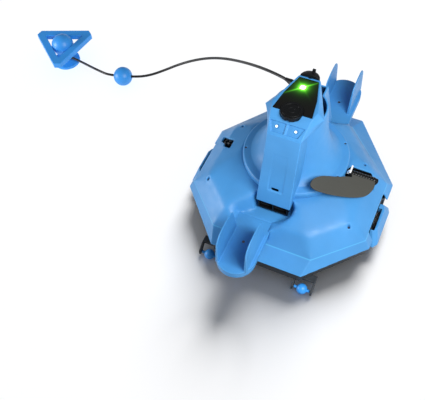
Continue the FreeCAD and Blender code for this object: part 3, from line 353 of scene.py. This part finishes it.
def rounded(node, voxel, passes):
    """The node's own shape with its sharp edges rounded off, as it leaves the mould."""
    source = NODES[node]
    thing = piece("moulded_" + node, source.data.copy(), source["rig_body"], LOOKS[node])
    remesh = thing.modifiers.new("remesh", "REMESH")
    remesh.mode = "VOXEL"
    remesh.voxel_size = voxel * MM
    smooth = thing.modifiers.new("smooth", "SMOOTH")
    smooth.factor = 0.5
    smooth.iterations = passes
    settle(thing)
    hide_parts(node)
    return thing


# ------------------------------------------------------------------ retrieval cord
CORD_ROUTE = [(-28, 30, 250), (-45, 38, 247), (-76, 56, 234), (-111, 82, 210), (-153, 114, 177),
              (-199, 144, 142), (-242, 163, 111), (-280, 170, 85), (-313, 169, 63), (-342, 162, 44),
              (-370, 151, 30), (-399, 142, 22), (-459, 128, 18), (-488, 134, 15), (-515, 140, 13),
              (-543, 145, 14), (-571.9, 146.9, 16)]
CORD_THICK = 0.005


def make_cord():
    curve = bpy.data.curves.new("cord_line", "CURVE")
    curve.dimensions = "3D"
    curve.bevel_depth = CORD_THICK / 2
    curve.bevel_resolution = 5
    curve.resolution_u = 16
    curve.use_fill_caps = True
    line = curve.splines.new("NURBS")
    line.points.add(len(CORD_ROUTE) - 1)
    for point, place in zip(line.points, CORD_ROUTE):
        point.co = (*mm(*place), 1)
    line.order_u = 3
    line.use_endpoint_u = True
    thing = bpy.data.objects.new("retrieval_cord", curve)
    bpy.context.scene.collection.objects.link(thing)
    curve.materials.append(MATERIALS["cord_jacket"])
    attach(thing, "chassis")
    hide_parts("cord")


# ------------------------------------------------------------------ moulded parts
SCREWS = [(-124, -86.6), (124, -86.6), (-111.7, 33.8), (111.7, 33.8)]
# the deck's openings in mm: each pair is a middle and a half width
WINDOW_X, WINDOW_Y = (122, 32), (1, 25)
TONGUE_X, TONGUE_START, TONGUE_TOP = (22, 33), 119, 90
NOZZLE_HALF_WIDTH, NOZZLE_END = 32, 110
TOWER_FOOT_RADIUS = 84


def deck_share(x, y, z):
    """How far a point of the shell belongs to its smooth deck: 0 beside edges and holes, 1 elsewhere."""
    share = min(1.0, max(0.0, (z - 70) / 10))
    for screw_x, screw_y in SCREWS:
        share = min(share, max(0.0, (math.hypot(x - screw_x, y - screw_y) - 4) / 5))
    side = abs(x)
    window = max(abs(side - WINDOW_X[0]) - WINDOW_X[1], abs(y - WINDOW_Y[0]) - WINDOW_Y[1])
    tower = math.hypot(x, y) - TOWER_FOOT_RADIUS
    share = min(share, max(0.0, window / 6), max(0.0, tower / 8))
    tongue = max(abs(x - math.copysign(TONGUE_X[0], y)) - TONGUE_X[1], TONGUE_START - abs(y))
    if z < TONGUE_TOP:
        share = min(share, max(0.0, tongue / 6))
    nozzle = max(side - NOZZLE_HALF_WIDTH, abs(y) - NOZZLE_END)
    return min(share, max(0.0, nozzle / 8))


def rounded_shell():
    """The shell: its deck flows in one curve from the tower to the crease."""
    shell = rounded("upper_shell", 1.3, 4)
    mesh = shell.data
    group = shell.vertex_groups.new(name="deck")
    steps = {}
    for vertex in mesh.vertices:
        share = deck_share(*(vertex.co / MM))
        if share > 0:
            steps.setdefault(round(share * 10), []).append(vertex.index)
    for step, members in steps.items():
        group.add(members, step / 10, "REPLACE")
    flow = shell.modifiers.new("flow", "SMOOTH")
    flow.vertex_group = "deck"
    flow.factor = 0.5
    flow.iterations = DECK_PASSES
    settle(shell)


DECK_PASSES = 260
rounded_shell()
# node, voxel size in mm, smoothing passes
SOFT = (("tower_housing", 0.9, 3), ("front_chute", 0.65, 2), ("rear_chute", 0.65, 2), ("head_bezel", 0.6, 3),
        ("base_tray", 1.5, 3), ("wheel_guard_left", 0.7, 4), ("wheel_guard_right", 0.7, 4),
        ("steering_flap", 0.6, 3), ("power_dial", 0.45, 3), ("charge_cap", 0.45, 3), ("float_frame", 0.8, 3),
        ("bead", 0.6, 3), ("float_ball", 0.7, 3), ("float_foot", 0.6, 3), ("flap_bracket_left", 0.5, 2),
        ("flap_bracket_right", 0.5, 2), ("flap_pin", 0.5, 2), ("display_cover", 0.45, 2))
SHAPED = {name: rounded(name, voxel, passes) for name, voxel, passes in SOFT}
for corner in ("front_left", "front_right", "rear_left", "rear_right"):
    rounded("roller_bracket_" + corner, 0.5, 2)
    rounded("roller_" + corner, 0.5, 2)


def turned(name, start, way, profile, body, look, steps=48):
    """A ring-shaped piece: profile is a closed loop of (along, radius) in mm about the line from start."""
    turn = way.to_track_quat("Z", "Y").to_matrix()
    build = bmesh.new()
    rings = []
    for along, radius in profile:
        ring = []
        for k in range(steps):
            angle = k * math.tau / steps
            point = Vector((radius * math.cos(angle), radius * math.sin(angle), along)) * MM
            ring.append(build.verts.new(start + turn @ point))
        rings.append(ring)
    for first, second in zip(rings, rings[1:] + rings[:1]):
        for k in range(steps):
            build.faces.new((first[k], first[(k + 1) % steps], second[(k + 1) % steps], second[k]))
    bmesh.ops.recalc_face_normals(build, faces=build.faces)
    mesh = bpy.data.meshes.new(name)
    build.to_mesh(mesh)
    build.free()
    for face in mesh.polygons:
        face.use_smooth = True
    return piece(name, mesh, body, look)


def make_strain_relief():
    """Tapered rubber sleeve with ribs round the cord where it leaves the head."""
    start, after = mm(*CORD_ROUTE[0]), mm(*CORD_ROUTE[1])
    profile = [(-1.0, 4.7), (1.0, 4.7), (1.6, 4.1), (3.0, 4.3), (3.6, 3.7), (5.0, 3.9), (5.6, 3.4),
               (7.4, 3.5), (8.0, 3.1), (10.4, 3.1), (11.0, 2.62), (10.0, 2.54), (-1.0, 2.54)]
    turned("strain_relief", start, (after - start).normalized(), profile, "chassis", "seal_rubber", 32)


HINGE = (117, 3.6, 110)
HINGE_TILT, HINGE_TURN = math.radians(27), math.radians(19)
SLEEVE_HALF = 23.2
SLEEVE_RIBS, RIB_PITCH = 9, 5.1
VALLEY_RADIUS, RIB_RADIUS = 5.25, 5.85


def make_hinge_sleeve():
    """Black ribbed sleeve over the flap's barrel."""
    way = Vector((math.cos(HINGE_TILT) * math.cos(HINGE_TURN), math.sin(HINGE_TURN),
                  -math.sin(HINGE_TILT) * math.cos(HINGE_TURN)))
    profile = [(-SLEEVE_HALF, 4.9)]
    for rib in range(SLEEVE_RIBS):
        middle = (rib - SLEEVE_RIBS // 2) * RIB_PITCH
        profile += [(middle - 2.3, VALLEY_RADIUS), (middle - 1.7, RIB_RADIUS), (middle + 1.7, RIB_RADIUS),
                    (middle + 2.3, VALLEY_RADIUS)]
    profile.append((SLEEVE_HALF, 4.9))
    turned("hinge_sleeve", mm(*HINGE), way, profile, NODES["steering_flap"]["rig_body"], "black_plastic")


DIAL = (-1.5, -37, 263.7)


def make_dial_rings():
    """Raised grip ring and centre boss on the dial."""
    body = NODES["power_dial"]["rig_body"]
    up = Vector((0, 0, 1))
    for name, inner, outer, high in (("dial_ring", 12.4, 14.6, 0.75), ("dial_boss", 4.2, 6.0, 0.55)):
        middle, bevel = (inner + outer) / 2, 0.35
        turned(name, mm(*DIAL), up, [(-0.4, inner), (high - bevel, inner), (high, inner + bevel), (high, middle),
                                     (high, outer - bevel), (high - bevel, outer), (-0.4, outer)],
               body, "black_plastic")


make_cord()
make_strain_relief()
make_hinge_sleeve()
make_dial_rings()


# ------------------------------------------------------------------ stage and light
FLOOR_REACH = 6.0


def make_stage():
    mesh = bpy.data.meshes.new("floor")
    mesh.from_pydata([(-FLOOR_REACH, -FLOOR_REACH, 0), (FLOOR_REACH, -FLOOR_REACH, 0),
                      (FLOOR_REACH, FLOOR_REACH, 0), (-FLOOR_REACH, FLOOR_REACH, 0)], [], [(0, 1, 2, 3)])
    floor = bpy.data.objects.new("floor", mesh)
    bpy.context.scene.collection.objects.link(floor)
    made, tree, shader = material("floor_white")
    shader.inputs["Base Color"].default_value = (0.97, 0.97, 0.975, 1)
    shader.inputs["Roughness"].default_value = 0.7
    mesh.materials.append(made)
    return floor


def aimed(name, data, place, aim, floor, floor_state):
    """A lamp that lights only the floor (INCLUDE) or only the machine (EXCLUDE)."""
    lamp = bpy.data.objects.new(name, data)
    lamp.location = place
    lamp.rotation_euler = (Vector(aim) - Vector(place)).to_track_quat("-Z", "Y").to_euler()
    bpy.context.scene.collection.objects.link(lamp)
    group = bpy.data.collections.new(name + "_receivers")
    group.objects.link(floor)
    group.collection_objects[0].light_linking.link_state = floor_state
    lamp.light_linking.receiver_collection = group
    return lamp


def soft_box(name, place, aim, size, power, floor, colour=(1, 1, 1)):
    data = bpy.data.lights.new(name, "AREA")
    data.energy = power
    data.size = size
    data.color = colour
    return aimed(name, data, place, aim, floor, "EXCLUDE")


def without_shadow(lamp, things):
    """The lamp's light passes through these things."""
    group = bpy.data.collections.new(lamp.name + "_blockers")
    for thing in things:
        group.objects.link(thing)
    for entry in group.collection_objects:
        entry.light_linking.link_state = "EXCLUDE"
    lamp.light_linking.blocker_collection = group


FILL = 0.26
BACKDROP = 1.1


def make_backdrop():
    """White where it is seen beyond the floor, and a weak fill light on everything else."""
    world = bpy.data.worlds.new("studio")
    world.use_nodes = True
    tree = world.node_tree
    background = tree.nodes["Background"]
    background.inputs["Color"].default_value = (0.95, 0.97, 1, 1)
    seen = tree.nodes.new("ShaderNodeLightPath").outputs["Is Camera Ray"]
    strength = maths(tree, "ADD", maths(tree, "MULTIPLY", seen, BACKDROP - FILL), FILL)
    tree.links.new(strength, background.inputs["Strength"])
    bpy.context.scene.world = world
    bpy.context.scene.view_settings.view_transform = "Standard"


def make_light(floor):
    sun = bpy.data.lights.new("floor_key", "SUN")
    sun.energy = 3.5
    sun.angle = math.radians(34)
    key = aimed("floor_key", sun, (0.0, 1.5, 1.5), (0, 0, 0), floor, "INCLUDE")
    without_shadow(key, [thing for thing in bpy.data.objects
                         if thing.name.startswith(("moulded_bead", "moulded_float", "retrieval_cord"))])
    soft_box("front_soft", (0.65, -0.42, 1.0), (0, 0, 0.05), 0.6, 17, floor)
    soft_box("left_rim", (-1.3, -0.5, 0.3), (0, 0, 0.12), 0.4, 10, floor, (0.95, 0.97, 1))
    make_backdrop()


make_light(make_stage())
